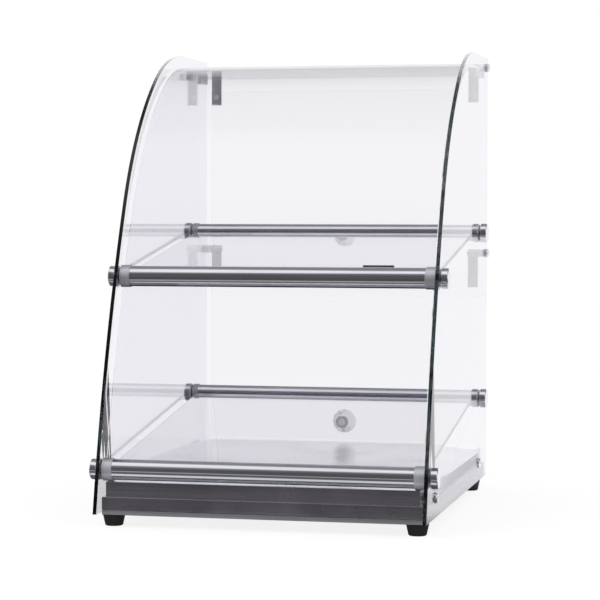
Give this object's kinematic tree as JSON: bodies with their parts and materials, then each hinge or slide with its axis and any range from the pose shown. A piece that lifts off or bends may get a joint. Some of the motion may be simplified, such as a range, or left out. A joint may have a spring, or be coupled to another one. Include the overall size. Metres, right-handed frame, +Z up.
{
  "type": "hot food display case",
  "caption": "Counter-top curved-glass hot food display case: sloping clear shelves on slotted steel bars, rear flap doors and a low heated steel base.",
  "frame": {"origin": "on the surface it stands on, under the middle of its bounding box", "axes": "+Z up, +X to the right as seen from the front, the curved front faces -Y and the doors are at +Y"},
  "size_m": [0.3672, 0.462, 0.5103],
  "materials": {
    "side_glass": "clear float glass with polished edges",
    "clear_glass": "clear glass sheet",
    "clear_blocks": "clear bonded block",
    "bar_steel": "fine turned grain",
    "collar_steel": "turned, satin",
    "rod_steel": "plain",
    "washer_clear": "soft, clear",
    "wedge_rubber": "soft, matt",
    "deck_steel": "coarse brushed along the width",
    "cover_steel": "dull",
    "fastener_steel": "bright",
    "foot_rubber": "moulded, matt",
    "white_nylon": "moulded",
    "element_sheath": "heat-darkened sheath",
    "reflector_aluminium": "mill finish",
    "bulb_copper": "drawn tube",
    "black_plastic": "moulded",
    "rocker_red": "moulded",
    "lamp_lens": "translucent lens",
    "blade_brass": "plated",
    "wire_red": "insulated",
    "strap_steel": "pressed, satin",
    "knob_acrylic": "cut clear acrylic"
  },
  "bodies": {
    "case": {"side_panel_left": "side_glass", "side_panel_right": "side_glass", "upper_front_glass": "clear_glass", "lower_front_glass": "clear_glass", "top_glass_blocks": "clear_blocks", "middle_front_bar": "bar_steel", "bottom_front_bar": "bar_steel", "upper_rear_bar": "bar_steel", "lower_rear_bar": "bar_steel", "tie_rods": "rod_steel", "collars_left": "collar_steel", "collars_right": "collar_steel", "caps_left": "collar_steel", "caps_right": "collar_steel", "bar_washers": "washer_clear", "glass_wedge": "wedge_rubber", "middle_shelf": "clear_glass", "lower_shelf": "clear_glass", "deck_box": "deck_steel", "base_tray": "deck_steel", "bottom_cover": "cover_steel", "cover_screws": "fastener_steel", "rear_panel": "deck_steel", "foot_front_left": "foot_rubber", "foot_front_right": "foot_rubber", "foot_rear_left": "foot_rubber", "foot_rear_right": "foot_rubber", "foot_screws": "fastener_steel", "base_screws": "fastener_steel", "base_spacers": "white_nylon", "heating_element": "element_sheath", "element_clips": "reflector_aluminium", "reflector": "reflector_aluminium", "reflector_posts": "fastener_steel", "thermostat_body": "white_nylon", "thermostat_bulb": "bulb_copper", "switch_frame": "black_plastic", "pilot_lamp": "lamp_lens", "power_inlet": "black_plastic", "inlet_blades": "blade_brass", "inlet_screws": "fastener_steel", "terminal_block": "white_nylon", "wiring": "wire_red", "hinge_pins": "fastener_steel", "hinge_spacers": "white_nylon"},
    "upper_door": {"upper_door": "clear_glass", "upper_door_straps": "strap_steel", "upper_strap_screws": "fastener_steel", "upper_door_knob": "knob_acrylic", "upper_knob_screw": "fastener_steel"},
    "lower_door": {"lower_door": "clear_glass", "lower_door_straps": "strap_steel", "lower_strap_screws": "fastener_steel", "lower_door_knob": "knob_acrylic", "lower_knob_screw": "fastener_steel"},
    "thermostat_dial": {"thermostat_knob": "black_plastic", "thermostat_spindle": "rod_steel"},
    "rocker": {"switch_rocker": "rocker_red"}
  },
  "joints": [
    {"name": "upper_door_hinge", "type": "hinge", "parent": "case", "child": "upper_door", "pos_m": [0, 0.1995, 0.4992], "axis": [1, 0, 0], "range_deg": [0, 100]},
    {"name": "lower_door_hinge", "type": "hinge", "parent": "case", "child": "lower_door", "pos_m": [0, 0.1995, 0.2795], "axis": [1, 0, 0], "range_deg": [0, 78]},
    {"name": "thermostat_turn", "type": "hinge", "parent": "case", "child": "thermostat_dial", "pos_m": [0.06, 0.2, 0.0315], "axis": [0, 1, 0], "range_deg": [0, 270]},
    {"name": "switch_rock", "type": "hinge", "parent": "case", "child": "rocker", "pos_m": [-0.04, 0.1952, 0.0315], "axis": [0, 0, 1], "range_deg": [-16, 0]}
  ]
}
